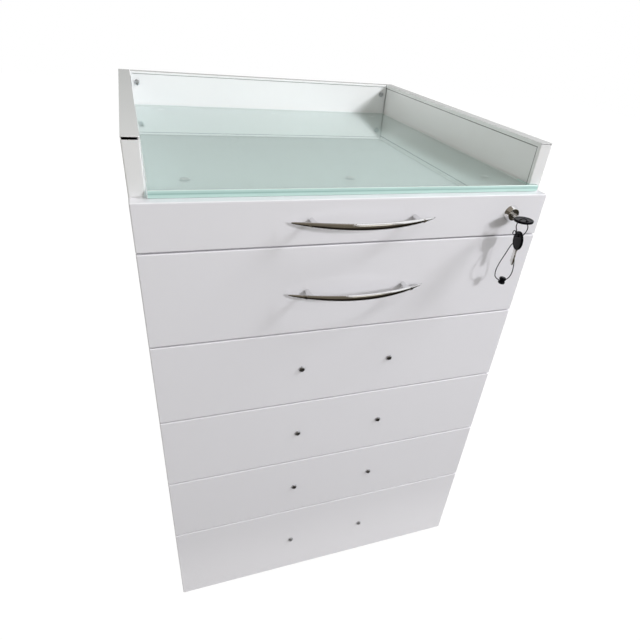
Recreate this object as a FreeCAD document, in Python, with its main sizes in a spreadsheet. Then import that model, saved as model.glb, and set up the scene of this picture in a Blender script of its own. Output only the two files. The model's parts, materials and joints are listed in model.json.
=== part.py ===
import FreeCAD, Part
import math
import operator
import os
import types

import Sketcher
from FreeCAD import Placement, Rotation, Vector

# Six-drawer dental cabinet in folded, powder-coated sheet steel, with a glass top inside a low gallery.
# Every piece is drawn from the middle of the cabinet's front: X runs to the right, Y runs back from the
# faces of the drawer fronts, and Z is measured from the top edge of the first drawer front. Each piece is
# then placed so that the origin lies on the floor under the middle of the whole outline.

DIMENSIONS = [
    ("overall_width", 500.0, "outside width"),
    ("overall_depth", 500.0, "from the drawer faces to the back"),
    ("drawer_top", 692.5, "height of the first drawer's top edge above the floor"),
    ("gallery_height", 57.5, "height of the gallery above the first drawer's top edge"),
    ("steel", 1.0, "thickness of the folded sheet"),
    ("wall", 17.0, "thickness of the double-skinned walls"),
    ("return_lip", 5.0, "return of an outer skin over the inner skin"),
    ("fold_radius", 1.4, "outer radius of the folds"),
    ("left_seam", 2.6, "open seam between the folds at the left wall's top front corner"),
    ("right_seam", 0.6, "open seam between the folds at the right wall's top front corner"),
    ("back_return", 3.0, "return of the back wall's outer skin over its inner skin"),
    ("back_gap", 2.0, "gap between the back wall and a side wall's inner skin"),
    ("bracket_length", 18.0, "length of a corner bracket's leg in the back wall"),
    ("bracket_leg", 9.0, "length of a corner bracket's leg along the side wall"),
    ("bracket_height", 16.0, "height of a corner bracket"),
    ("bracket_screw", 5.0, "diameter of the bracket screws"),
    ("bracket_screw_head", 9.0, "diameter of a bracket screw's head"),
    ("bracket_screw_inset", 9.5, "bracket screw to the side wall's lip"),
    ("bracket_screw_drop", 16.5, "upper bracket screw below the gallery's top edge"),
    ("front_thickness", 17.0, "thickness of a drawer front"),
    ("front_clearance", 1.2, "gap between the closed fronts and the carcass"),
    ("front_gap", 1.6, "gap between one drawer front and the next"),
    ("first_pitch", 53.0, "from the top edge to the middle of the first gap"),
    ("drawer_pitch", 116.5, "from one gap to the next, drawers two to five"),
    ("fronts_height", 676.0, "height of the six fronts together"),
    ("deck_drop", 1.5, "deck surface below the first drawer's top edge"),
    ("pan_depth", 15.0, "depth of the folded deck and base pans"),
    ("glide_height", 15.0, "height of the glides under the base"),
    ("glide_diameter", 34.0, "diameter of a glide"),
    ("glide_sole", 3.0, "height of a glide's sole"),
    ("glide_stud", 8.0, "diameter of a glide's stud"),
    ("glide_stud_length", 25.0, "length of a glide's stud from the floor"),
    ("glide_nut_width", 13.0, "width across the flats of a glide's nut"),
    ("glide_nut_height", 6.0, "height of a glide's nut"),
    ("glide_inset", 45.0, "glide to the cabinet's side and front"),
    ("glass_thickness", 8.0, "thickness of the glass pane"),
    ("glass_lift", 2.0, "height of the pads under the pane"),
    ("glass_margin", 1.5, "gap between the pane and a side wall's lip"),
    ("glass_back_margin", 1.0, "gap between the pane and the back wall's lip"),
    ("glass_front", 11.0, "front edge of the pane behind the drawer faces"),
    ("glass_ear", 10.0, "width of the pane's ear in front of the right wall"),
    ("glass_ear_gap", 0.5, "gap between the pane's ear and the wall behind it"),
    ("glass_arris", 0.8, "ground edge of the pane"),
    ("pad_diameter", 12.0, "diameter of a pad under the pane"),
    ("pad_inset", 40.0, "middle of a pad from the pane's edges"),
    ("tray_width", 443.0, "outside width of a drawer tray"),
    ("tray_back", 462.0, "back of a tray behind the drawer faces"),
    ("tray_drop", 18.5, "rim of a tray below its front's top edge"),
    ("tray_hem", 5.0, "width of the folded rim of a tray"),
    ("slide_start", 24.0, "front end of the slides behind the drawer faces"),
    ("slide_height", 27.0, "height of a slide"),
    ("slide_width", 12.5, "room that a slide takes at each side"),
    ("slide_steel", 1.2, "thickness of a slide's rails"),
    ("slide_rise", 16.0, "middle of a slide above the tray's underside"),
    ("ball_room", 1.5, "room for the balls between two rails"),
    ("screw_spacing", 128.0, "distance between a handle's two screws"),
    ("screw_shank", 4.0, "diameter of the machine screws"),
    ("screw_head", 8.0, "diameter of a machine screw's head"),
    ("head_height", 2.6, "height of a machine screw's head"),
    ("nut_width", 7.0, "width across the flats of a machine nut"),
    ("nut_height", 3.2, "height of a machine nut"),
    ("handle_length", 177.0, "length of a bow handle, tip to tip"),
    ("handle_reach", 26.8, "middle of the bow in front of the drawer face"),
    ("handle_tip_reach", 5.9, "tip of the bow in front of the drawer face"),
    ("handle_width", 8.2, "height of the bow at its middle"),
    ("handle_thickness", 4.2, "thickness of the bow at its middle"),
    ("handle_drop", 23.0, "first handle's middle below the top edge"),
    ("foot_diameter", 6.4, "diameter of a handle's foot on the drawer face"),
    ("foot_spread", 16.0, "width of a handle's foot where it runs into the bow"),
    ("lock_x", 202.3, "lock to the right of the middle"),
    ("lock_drop", 23.3, "lock below the first drawer's top edge"),
    ("lock_flange", 21.0, "diameter of the lock's flange"),
    ("lock_face", 6.0, "lock's face in front of the drawer face"),
    ("lock_face_diameter", 15.2, "diameter of the lock's face"),
    ("lock_barrel", 16.0, "diameter of the lock's barrel"),
    ("lock_length", 25.5, "length of the barrel behind the drawer face"),
    ("lock_fit", 0.1, "clearance on the diameter round the lock's round pieces"),
    ("plug_diameter", 11.0, "diameter of the lock's plug"),
    ("plug_tang", 6.5, "side of the plug's square end"),
    ("cam_width", 12.0, "width of the cam"),
    ("cam_reach", 18.0, "length of the cam from the plug's axis"),
    ("cam_thickness", 2.0, "thickness of the cam"),
    ("lock_nut_width", 20.0, "width across the flats of the lock's nut"),
    ("lock_nut_height", 3.5, "height of the lock's nut"),
    ("strike_width", 24.0, "width of the strike"),
    ("key_head_length", 23.0, "length of a key's head along its blade"),
    ("key_head_width", 25.0, "width of a key's head"),
    ("key_head_thickness", 3.0, "thickness of a key's head"),
    ("key_rim_width", 2.6, "width of the raised rim round a key's head"),
    ("key_rim_height", 0.3, "height of the raised rim over the head's middle"),
    ("key_blade_width", 7.4, "width of a key's blade"),
    ("key_blade_thickness", 1.8, "thickness of a key's blade"),
    ("key_blade_length", 20.0, "length of a key's blade outside its head"),
    ("key_hole", 4.6, "diameter of the cord hole in a key's head"),
    ("key_hole_inset", 5.0, "middle of the cord hole from the head's end"),
    ("key_reach", 37.5, "end of the key in the lock, in front of the drawer face"),
    ("cord_diameter", 1.2, "diameter of the key cord"),
    ("bead_diameter", 9.0, "diameter of the cord bead"),
    ("bead_height", 9.0, "height of the cord bead"),
]

# The spare key's cord hole and the bead's middle, and how far each is turned from the cabinet's front.
SPARE_HOLE = Vector(198.5, -31.0, -40.7)
SPARE_TURN = 75.0
BEAD_MIDDLE = Vector(195.4, -28.0, -103.6)
BEAD_TILT = 8.0

# The cord's route, from one side of the bead, up behind the spare key, through both keys and back down.
CORD_POINTS = [
    (197.4, -28.0, -104.0),
    (203.7, -28.0, -102.4),
    (207.6, -28.0, -95.4),
    (207.0, -28.2, -84.4),
    (204.2, -27.8, -73.2),
    (202.4, -25.6, -62.8),
    (203.6, -25.0, -52.4),
    (204.6, -28.4, -43.6),
    (206.4, -31.6, -36.4),
    (206.4, -32.6, -30.0),
    (203.6, -32.6, -25.4),
    (202.4, -32.4, -21.4),
    (199.4, -31.8, -18.9),
    (193.2, -31.4, -18.7),
    (188.8, -31.6, -22.6),
    (187.6, -32.4, -28.2),
    (189.9, -33.6, -32.9),
    (189.0, -34.0, -37.6),
    (185.2, -33.6, -37.4),
    (185.4, -32.6, -33.4),
    (189.6, -31.6, -33.2),
    (192.2, -29.6, -37.4),
    (196.4, -30.2, -40.4),
    (201.2, -31.6, -41.4),
    (204.0, -28.2, -46.2),
    (204.4, -21.4, -52.4),
    (200.4, -19.6, -57.0),
    (194.8, -23.2, -61.0),
    (189.4, -25.2, -69.2),
    (183.6, -26.6, -78.8),
    (180.6, -27.2, -90.0),
    (183.4, -27.6, -100.2),
    (193.4, -28.0, -103.8),
]


class Size:
    """A length worked out from the sheet: the expression to bind and its present value."""

    def __init__(self, text, value):
        self.text = text
        self.value = value

    def __float__(self):
        return self.value

    def __add__(self, other):
        return combined(self, "+", other)

    def __radd__(self, other):
        return combined(other, "+", self)

    def __sub__(self, other):
        return combined(self, "-", other)

    def __rsub__(self, other):
        return combined(other, "-", self)

    def __mul__(self, other):
        return combined(self, "*", other)

    def __rmul__(self, other):
        return combined(other, "*", self)

    def __truediv__(self, other):
        return combined(self, "/", other)

    def __neg__(self):
        return combined(0.0, "-", self)


SIGNS = {"+": operator.add, "-": operator.sub, "*": operator.mul, "/": operator.truediv}


def as_size(amount):
    return amount if isinstance(amount, Size) else Size(f"{float(amount):g}", float(amount))


def combined(first, sign, second):
    first, second = as_size(first), as_size(second)
    return Size(f"({first.text} {sign} {second.text})", SIGNS[sign](first.value, second.value))


doc = FreeCAD.newDocument("dental_cabinet")
sheet = doc.addObject("Spreadsheet::Sheet", "Dims")
for row, (alias, amount, meaning) in enumerate(DIMENSIONS, start=1):
    sheet.set(f"A{row}", meaning)
    sheet.set(f"B{row}", str(amount))
    sheet.setAlias(f"B{row}", alias)
doc.recompute()
d = types.SimpleNamespace(**{alias: Size(f"Dims.{alias}", amount) for alias, amount, _ in DIMENSIONS})

# Levels and places that several pieces share.
half_width = d.overall_width / 2
lip = half_width - d.wall
liner = lip + d.steel
carcass = d.front_thickness + d.front_clearance
back = d.overall_depth
back_lip = back - d.wall
back_liner = back_lip + d.steel
back_half = liner - d.back_gap
underside = d.glide_height - d.drawer_top
floor = -d.drawer_top
gallery = d.gallery_height
deck = -d.deck_drop
glass_bottom = deck + d.glass_lift
glass_half = lip - d.glass_margin
tray_half = d.tray_width / 2
slide_length = d.tray_back - d.slide_start
lock_z = -d.lock_drop
middle_y = (d.overall_depth - d.key_reach) / 2
DRAWERS = (1, 2, 3, 4, 5, 6)
SIDES = {"left": -1, "right": 1}
BEYOND = 1.0

nodes = []


def bind(thing, name, amount):
    thing.setExpression(name, as_size(amount).text)


def put(thing, x, y, z):
    """Holds a piece's place by expressions."""
    for axis, amount in zip("xyz", (x, y, z)):
        bind(thing, f"Placement.Base.{axis}", amount)


def node(piece, label):
    """Names a finished piece and moves it from the drawing frame to the model's own frame."""
    piece.Label = label
    put(piece, 0.0, -middle_y, d.drawer_top)
    nodes.append(piece)
    return piece


# ---- Part primitives and what is made from them ----


def plate(x, y, z):
    """A box between two limits on each axis."""
    box = doc.addObject("Part::Box", "plate")
    for (low, high), name in zip((x, y, z), ("Length", "Width", "Height")):
        bind(box, name, as_size(high) - low)
    put(box, x[0], y[0], z[0])
    return box


def span(side, near, far):
    """Limits along X for a piece on one side of the cabinet, given by distances from its middle."""
    return (near, far) if side > 0 else (-far, -near)


def about(middle, width):
    return (middle - width / 2, middle + width / 2)


def turned_to(direction):
    return Rotation(Vector(0, 0, 1), Vector(*direction))


def rod(diameter, length, x, y, z, direction):
    """A cylinder that starts at a point and runs along direction."""
    cylinder = doc.addObject("Part::Cylinder", "rod")
    bind(cylinder, "Radius", diameter / 2)
    bind(cylinder, "Height", length)
    cylinder.Placement = Placement(Vector(), turned_to(direction))
    put(cylinder, x, y, z)
    return cylinder


def cone(near_diameter, far_diameter, length, x, y, z, direction):
    tapered = doc.addObject("Part::Cone", "cone")
    bind(tapered, "Radius1", near_diameter / 2)
    bind(tapered, "Radius2", far_diameter / 2)
    bind(tapered, "Height", length)
    tapered.Placement = Placement(Vector(), turned_to(direction))
    put(tapered, x, y, z)
    return tapered


def hexagon(flats, length, x, y, z, direction):
    prism = doc.addObject("Part::Prism", "hexagon")
    prism.Polygon = 6
    bind(prism, "Circumradius", flats / math.sqrt(3.0))
    bind(prism, "Height", length)
    prism.Placement = Placement(Vector(), turned_to(direction))
    put(prism, x, y, z)
    return prism


def ellipse(major, minor, x, y, z, rotation):
    """An ellipse given by its half-axes, the major one along the rotation's own X."""
    curve = doc.addObject("Part::Ellipse", "section")
    bind(curve, "MajorRadius", major)
    bind(curve, "MinorRadius", minor)
    curve.Placement = Placement(Vector(), rotation)
    put(curve, x, y, z)
    return curve


# Turns an ellipse to stand across the Y axis, its major axis along X.
UPRIGHT = Rotation(Vector(1, 0, 0), Vector(0, 0, 1), Vector(0, -1, 0))


def lofted(sections):
    loft = doc.addObject("Part::Loft", "loft")
    loft.Sections = sections
    loft.Solid = True
    return loft


def joined(pieces):
    fuse = doc.addObject("Part::MultiFuse", "welded")
    fuse.Shapes = pieces
    fuse.Refine = True
    return fuse


def drilled(base, tools):
    cut = doc.addObject("Part::Cut", "drilled")
    cut.Base = base
    cut.Tool = tools[0] if len(tools) == 1 else grouped(tools)
    cut.Refine = True
    return cut


def grouped(pieces):
    group = doc.addObject("Part::Compound", "group")
    group.Links = pieces
    return group


def copied(source, x, y, z, rotation=None):
    """A linked copy of a piece, moved and turned about its own origin."""
    link = doc.addObject("App::Link", "copy")
    link.LinkedObject = source
    link.Placement = Placement(Vector(), rotation or Rotation())
    put(link, x, y, z)
    return link


def rounded(base, radius, wanted):
    """Rounds the edges of base that wanted(edge) picks."""
    doc.recompute()
    fillet = doc.addObject("Part::Fillet", "rounded")
    fillet.Base = base
    size = float(radius)
    picked = [i for i, edge in enumerate(base.Shape.Edges, start=1) if wanted(edge)]
    fillet.Edges = [(i, size, size) for i in picked]
    return fillet


def lies_at(edge, **levels):
    """True if the whole edge lies at each of the x, y or z levels given."""
    box = edge.BoundBox
    limits = {"x": (box.XMin, box.XMax), "y": (box.YMin, box.YMax), "z": (box.ZMin, box.ZMax)}
    return all(abs(end - float(at)) < 0.01 for axis, at in levels.items() for end in limits[axis])


# ---- PartDesign bodies and sketches ----


def new_body(name):
    return doc.addObject("PartDesign::Body", name)


def new_sketch(body, plane, offset=0.0):
    """A sketch on one of the body's own planes, moved along that plane's normal."""
    sketch = body.newObject("Sketcher::SketchObject", "outline")
    origin = next(f for f in body.Origin.OriginFeatures if f.Role == plane)
    sketch.AttachmentSupport = [(origin, "")]
    sketch.MapMode = "FlatFace"
    bind(sketch, "AttachmentOffset.Base.z", offset)
    return sketch


def hold(sketch, direction, geometry, point, amount):
    """Keeps a point of the sketch at its distance from an axis."""
    if float(amount) == 0.0:
        axis = -2 if direction == "DistanceX" else -1
        sketch.addConstraint(Sketcher.Constraint("PointOnObject", geometry, point, axis))
        return
    constraint = Sketcher.Constraint(direction, -1, 1, geometry, point, float(amount))
    index = sketch.addConstraint(constraint)
    sketch.setExpression(f"Constraints[{index}]", as_size(amount).text)


def add_outline(sketch, points):
    """A closed outline of straight sides whose corners are held by expressions."""
    first = sketch.GeometryCount
    ends = [Vector(float(x), float(y), 0) for x, y in points]
    for start, end in zip(ends, ends[1:] + ends[:1]):
        sketch.addGeometry(Part.LineSegment(start, end))
    for side, (x, y) in enumerate(points):
        following = first + (side + 1) % len(points)
        sketch.addConstraint(Sketcher.Constraint("Coincident", first + side, 2, following, 1))
        hold(sketch, "DistanceX", first + side, 1, x)
        hold(sketch, "DistanceY", first + side, 1, y)


def add_circle(sketch, x, y, diameter):
    circle = Part.Circle(Vector(float(x), float(y), 0), Vector(0, 0, 1), float(diameter) / 2)
    geometry = sketch.addGeometry(circle)
    hold(sketch, "DistanceX", geometry, 3, x)
    hold(sketch, "DistanceY", geometry, 3, y)
    index = sketch.addConstraint(Sketcher.Constraint("Diameter", geometry, float(diameter)))
    sketch.setExpression(f"Constraints[{index}]", as_size(diameter).text)


def pad(body, sketch, length, backwards=False, midplane=False):
    feature = body.newObject("PartDesign::Pad", "pad")
    feature.Profile = sketch
    bind(feature, "Length", length)
    feature.Reversed = backwards
    feature.Midplane = midplane
    sketch.Visibility = False
    return feature


def pocket(body, sketch, length, backwards=False, midplane=False):
    doc.recompute()
    before = body.Shape.Volume
    feature = body.newObject("PartDesign::Pocket", "pocket")
    feature.Profile = sketch
    bind(feature, "Length", length)
    feature.Reversed = backwards
    feature.Midplane = midplane
    doc.recompute()
    if body.Shape.Volume > before - 0.001:
        raise RuntimeError(f"a pocket of {body.Label} cuts nothing")
    return feature


def dress(body, kind, name, amount, wanted):
    """Adds a fillet or chamfer to the body's edges that wanted(edge) picks."""
    doc.recompute()
    base = body.Tip
    feature = body.newObject(kind, name.lower())
    picked = [f"Edge{i}" for i, edge in enumerate(base.Shape.Edges, start=1) if wanted(edge)]
    feature.Base = (base, picked)
    bind(feature, name, amount)
    return feature


# ---- the drawers' levels ----


def front_top(drawer):
    if drawer == 1:
        return as_size(0.0)
    return -(d.first_pitch + (drawer - 2) * d.drawer_pitch + d.front_gap / 2)


def front_bottom(drawer):
    if drawer == DRAWERS[-1]:
        return -d.fronts_height
    return -(d.first_pitch + (drawer - 1) * d.drawer_pitch - d.front_gap / 2)


def front_middle(drawer):
    return (front_top(drawer) + front_bottom(drawer)) / 2


def tray_bottom(drawer):
    if drawer == DRAWERS[-1]:
        return underside + d.pan_depth + 2 * d.steel
    return front_bottom(drawer) + d.steel


def tray_top(drawer):
    return front_top(drawer) - d.tray_drop


def slide_level(drawer):
    return tray_bottom(drawer) + d.slide_rise


def handle_level(drawer):
    return -d.handle_drop if drawer == 1 else front_middle(drawer)


# ---- carcass ----

HOOK_PLACES = (30.0, 390.0)
HOOK_SIZE = (10.0, 4.0)
BRACKET_LEVELS = (gallery - d.bracket_screw_drop, as_size(-300.0), as_size(-640.0))
bracket_x = lip - d.bracket_screw_inset

# The height of the seam at each wall's top front corner, and how far out it is open.
SEAMS = {
    SIDES["left"]: (d.left_seam, half_width + BEYOND),
    SIDES["right"]: (d.right_seam, half_width - d.steel),
}


def folded_skin(x, y, z, x_folds, y_folds, z_folds):
    """A block with rounded folds along the edges where two of the given faces meet."""
    block = plate(x, y, z)

    def is_fold(edge):
        pairs = [{"x": a, "z": c} for a in x_folds for c in z_folds]
        pairs += [{"x": a, "y": b} for a in x_folds for b in y_folds]
        pairs += [{"y": b, "z": c} for b in y_folds for c in z_folds]
        return any(lies_at(edge, **pair) for pair in pairs)

    return rounded(block, d.fold_radius, is_fold)


def side_skin(side):
    """Outer skin of a side wall: its four edges fold round and lie as a lip over the inner skin."""
    block = folded_skin(
        span(side, lip, half_width), (carcass, back), (underside, gallery),
        (side * lip, side * half_width), (carcass, back), (),
    )
    hollow = plate(
        span(side, liner, half_width - d.steel),
        (carcass + d.steel, back - d.steel),
        (underside + d.steel, gallery - d.steel),
    )
    window = plate(
        span(side, lip - BEYOND, liner + BEYOND),
        (carcass + d.return_lip, back - d.return_lip),
        (underside + d.return_lip, gallery - d.return_lip),
    )
    seam_height, seam_end = SEAMS[side]
    seam_top = gallery - d.steel
    seam = plate(
        span(side, lip - BEYOND, seam_end),
        (carcass - BEYOND, carcass + 2 * d.steel),
        (seam_top - seam_height, seam_top),
    )
    return drilled(block, [hollow, window, seam])


def hook_boxes(side, level, room=0.0):
    """The two hooks of a slide's outer rail, which reach through the side wall's inner skin."""
    return [
        plate(
            span(side, liner, liner + 2 * d.steel),
            about(d.slide_start + place, as_size(HOOK_SIZE[0] + room)),
            about(level, as_size(HOOK_SIZE[1] + room)),
        )
        for place in HOOK_PLACES
    ]


def side_liner(side):
    """Inner skin of a side wall, with slots for the slides' hooks."""
    skin = plate(
        span(side, liner, liner + d.steel),
        (carcass + d.steel, back - d.steel),
        (underside + d.steel, gallery - d.steel),
    )
    slots = [slot for drawer in DRAWERS for slot in hook_boxes(side, slide_level(drawer), room=0.4)]
    return drilled(skin, slots)


def back_skin():
    """Outer skin of the back wall, slotted at its ends for the corner brackets."""
    block = folded_skin(
        (-back_half, back_half), (back_lip, back), (underside, gallery),
        (), (back_lip, back), (underside, gallery),
    )
    hollow = plate(
        (d.steel - back_half, back_half - d.steel),
        (back_liner, back - d.steel),
        (underside + d.steel, gallery - d.steel),
    )
    window = plate(
        (d.back_return - back_half, back_half - d.back_return),
        (back_lip - BEYOND, back_liner + BEYOND),
        (underside + d.back_return, gallery - d.back_return),
    )
    slots = [
        plate(
            span(side, back_half - d.steel - BEYOND, back_half + BEYOND),
            (back_liner + d.steel, back_liner + 3 * d.steel),
            about(level, d.bracket_height),
        )
        for side in SIDES.values()
        for level in BRACKET_LEVELS
    ]
    return drilled(block, [hollow, window] + slots)


def bracket_holes(start, length, diameter):
    return [
        rod(diameter, length, side * bracket_x, start, level, (0, 1, 0))
        for side in SIDES.values()
        for level in BRACKET_LEVELS
    ]


def back_inner_skin():
    skin = plate(
        (d.steel - back_half, back_half - d.steel),
        (back_liner, back_liner + d.steel),
        (underside + d.steel, gallery - d.steel),
    )
    return drilled(skin, bracket_holes(back_liner - BEYOND, 3 * d.steel, d.bracket_screw + 0.3))


def corner_brackets():
    """Angles in the gaps between the back wall and the side walls, each with a leg in the back wall."""
    angles = []
    leg = back_liner + d.steel
    for side in SIDES.values():
        for level in BRACKET_LEVELS:
            height = about(level, d.bracket_height)
            on_side = plate(span(side, back_half, liner), (leg, leg + d.bracket_leg), height)
            in_back = plate(
                span(side, liner - d.back_gap - d.bracket_length, liner),
                (leg, leg + 2 * d.steel),
                height,
            )
            hole = rod(d.bracket_screw + 0.1, 4 * d.steel, side * bracket_x, leg - BEYOND, level, (0, 1, 0))
            angles.append(drilled(joined([on_side, in_back]), [hole]))
    return grouped(angles)


def pan(x, y, z, open_side):
    """A folded pan with four skirts, open above or below."""
    block = plate(x, y, z)
    inside_z = (z[0] - BEYOND, z[1] - d.steel) if open_side == "below" else (z[0] + d.steel, z[1] + BEYOND)
    inside = plate(
        (x[0] + d.steel, x[1] - d.steel),
        (y[0] + d.steel, y[1] - d.steel),
        inside_z,
    )
    return drilled(block, [inside])


def deck_pan():
    """The deck under the glass, notched at the front so that the lock's nut passes."""
    body = pan((-lip, lip), (carcass, back_lip), (deck - d.pan_depth, deck), "below")
    notch_width = d.lock_nut_width + 8.0
    notch = plate(
        about(d.lock_x, notch_width),
        (carcass - BEYOND, carcass + 2 * d.steel),
        (deck - d.pan_depth - BEYOND, lock_z + d.lock_nut_width * 0.66),
    )
    return drilled(body, [notch])


def glide_places():
    front_y = carcass + d.glide_inset - d.front_thickness
    return [
        (side * (half_width - d.glide_inset), y)
        for side in SIDES.values()
        for y in (front_y, back_lip - d.glide_inset)
    ]


def base_pan():
    body = pan((-lip, lip), (carcass, back_lip), (underside, underside + d.pan_depth), "above")
    holes = [
        rod(d.glide_stud + 0.4, 4 * d.steel, x, y, underside - BEYOND, (0, 0, 1))
        for x, y in glide_places()
    ]
    return drilled(body, holes)


def glide_feet():
    feet = []
    for x, y in glide_places():
        waist = d.glide_diameter - 2
        rise = d.glide_height - d.glide_sole
        sole = cone(d.glide_diameter, waist, d.glide_sole, x, y, floor, (0, 0, 1))
        body = cone(waist, d.glide_stud * 2, rise, x, y, floor + d.glide_sole, (0, 0, 1))
        stud = rod(d.glide_stud, d.glide_stud_length, x, y, floor, (0, 0, 1))
        feet.append(joined([sole, body, stud]))
    return grouped(feet)


def glide_nuts():
    nuts = []
    for x, y in glide_places():
        nut = hexagon(d.glide_nut_width, d.glide_nut_height, x, y, underside + d.steel, (0, 0, 1))
        bore = rod(d.glide_stud + 0.1, d.glide_nut_height + 2 * d.steel, x, y, underside, (0, 0, 1))
        nuts.append(drilled(nut, [bore]))
    return grouped(nuts)


def glass_pane():
    """The pane, with an ear at its front right corner that reaches in front of the right wall."""
    body = new_body("glass")
    sketch = new_sketch(body, "XY_Plane", glass_bottom)
    ear_end = glass_half + d.glass_ear
    ear_back = carcass - d.glass_ear_gap
    glass_back = back_lip - d.glass_back_margin
    add_outline(
        sketch,
        [
            (-glass_half, d.glass_front),
            (ear_end, d.glass_front),
            (ear_end, ear_back),
            (glass_half, ear_back),
            (glass_half, glass_back),
            (-glass_half, glass_back),
        ],
    )
    pad(body, sketch, d.glass_thickness)
    levels = (glass_bottom, glass_bottom + d.glass_thickness)
    dress(
        body, "PartDesign::Chamfer", "Size", d.glass_arris,
        lambda edge: any(lies_at(edge, z=level) for level in levels),
    )
    return body


def glass_pads():
    pads = []
    for x in (d.pad_inset - glass_half, as_size(0.0), glass_half - d.pad_inset):
        for y in (carcass + d.pad_inset, back_lip - d.pad_inset):
            pads.append(rod(d.pad_diameter, d.glass_lift, x, y, deck, (0, 0, 1)))
    return grouped(pads)


for name, side in SIDES.items():
    node(side_skin(side), f"side_skin_{name}")
    node(side_liner(side), f"side_liner_{name}")
node(back_skin(), "back_skin")
node(back_inner_skin(), "back_liner")
node(corner_brackets(), "corner_brackets")
node(deck_pan(), "deck_pan")
node(base_pan(), "base_pan")
node(glide_feet(), "glide_feet")
node(glide_nuts(), "glide_nuts")
node(glass_pane(), "glass_top")
node(glass_pads(), "glass_pads")


# ---- slides ----


def channel(side, web, edge, height):
    """A rail of C section; web and edge are distances from the side wall's inner skin."""
    body = new_body("rail")
    sketch = new_sketch(body, "XZ_Plane", -d.slide_start)
    inward = 1 if float(edge) > float(web) else -1
    inner_web = web + inward * d.slide_steel
    low, high = -height / 2, height / 2
    corners = [
        (web, low), (edge, low), (edge, low + d.slide_steel), (inner_web, low + d.slide_steel),
        (inner_web, high - d.slide_steel), (edge, high - d.slide_steel), (edge, high), (web, high),
    ]
    add_outline(sketch, [(side * (liner - across), up) for across, up in corners])
    pad(body, sketch, slide_length, backwards=True)
    return body


mid_height = d.slide_height - 2 * (d.slide_steel + d.ball_room)
inner_height = mid_height - 2 * (d.slide_steel + d.ball_room)
flange = d.slide_width * 0.68


def outer_rail(side):
    rail = channel(side, as_size(0.0), d.slide_width - 3.0, d.slide_height)
    return joined([rail] + hook_boxes(side, as_size(0.0)))


def mid_rail(side):
    web = d.slide_steel * 1.5
    return channel(side, web, web + flange, mid_height)


def inner_rail(side):
    rail = channel(side, d.slide_width, d.slide_width - flange, inner_height)
    holes = [
        rod(d.screw_shank + 0.3, 8.0, side * (tray_half - 2.0), y, 0.0, (side, 0, 0))
        for y in rail_screw_places()
    ]
    return drilled(rail, holes)


def rail_screw_places():
    return (d.slide_start + 60.0, d.tray_back - 60.0)


outer_rails = [outer_rail(side) for side in SIDES.values()]
mid_rails = [mid_rail(side) for side in SIDES.values()]
inner_rails = [inner_rail(side) for side in SIDES.values()]

at_levels = [copied(rail, 0.0, 0.0, slide_level(n)) for n in DRAWERS for rail in outer_rails]
node(grouped(at_levels), "slide_outer_rails")
for n in DRAWERS:
    node(grouped([copied(rail, 0.0, 0.0, slide_level(n)) for rail in mid_rails]), f"slide_mid_rails_{n}")


# ---- screws ----


def pan_screw(shank, length, head, head_height, slot_share=0.11):
    """A cross-recess screw along its own Z, its head above the origin and its shank below."""
    crown = rounded(
        rod(head, head_height, 0.0, 0.0, 0.0, (0, 0, 1)),
        head_height * 0.62,
        lambda edge: lies_at(edge, z=head_height),
    )
    stem = rod(shank, length, 0.0, 0.0, 0.0, (0, 0, -1))
    narrow = about(as_size(0.0), head * slot_share)
    wide = about(as_size(0.0), head * 0.5)
    deep = (head_height * 0.3, head_height + BEYOND)
    cross = joined([plate(narrow, wide, deep), plate(wide, narrow, deep)])
    return drilled(joined([crown, stem]), [cross])


FACING = {
    "front": Rotation(Vector(0, 0, 1), Vector(0, -1, 0)),
    "back": Rotation(Vector(0, 0, 1), Vector(0, 1, 0)),
}
plate_back = d.front_thickness
handle_screw = pan_screw(d.screw_shank, plate_back + 6.0, d.screw_head, d.head_height)
spare_screw = pan_screw(d.screw_shank, plate_back + 4.0, d.screw_head, d.head_height)
rail_screw = pan_screw(d.screw_shank, as_size(3.4), d.screw_head, d.head_height * 0.8)
bracket_screw = pan_screw(
    d.bracket_screw, as_size(10.0), d.bracket_screw_head, d.head_height, slot_share=0.22
)
screw_x = d.screw_spacing / 2


def spare_nut(x, level):
    nut = hexagon(d.nut_width, d.nut_height, x, plate_back, level, (0, 1, 0))
    bore = rod(d.screw_shank + 0.1, d.nut_height + 2.0, x, plate_back - BEYOND, level, (0, 1, 0))
    return drilled(nut, [bore])


def drawer_fasteners(drawer):
    """A drawer's handle screws, or the screws that wait for its handle, and its rails' screws."""
    pieces = []
    for side in SIDES.values():
        x, level = side * screw_x, handle_level(drawer)
        if drawer in HANDLED:
            pieces.append(copied(handle_screw, x, plate_back, level, FACING["back"]))
        else:
            pieces.append(copied(spare_screw, x, 0.0, level, FACING["front"]))
            pieces.append(spare_nut(x, level))
        inward = Rotation(Vector(0, 0, 1), Vector(-side, 0, 0))
        for y in rail_screw_places():
            pieces.append(copied(rail_screw, side * (tray_half - d.steel), y, slide_level(drawer), inward))
    return grouped(pieces)


# ---- drawers ----

HANDLED = (1, 2)


def screw_holes(drawer, start, length):
    return [
        rod(d.screw_shank + 0.3, length, side * screw_x, start, handle_level(drawer), (0, 1, 0))
        for side in SIDES.values()
    ]


def lock_hole(start, length):
    return rod(d.lock_barrel + 2 * d.lock_fit, length, d.lock_x, start, lock_z, (0, 1, 0))


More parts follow.
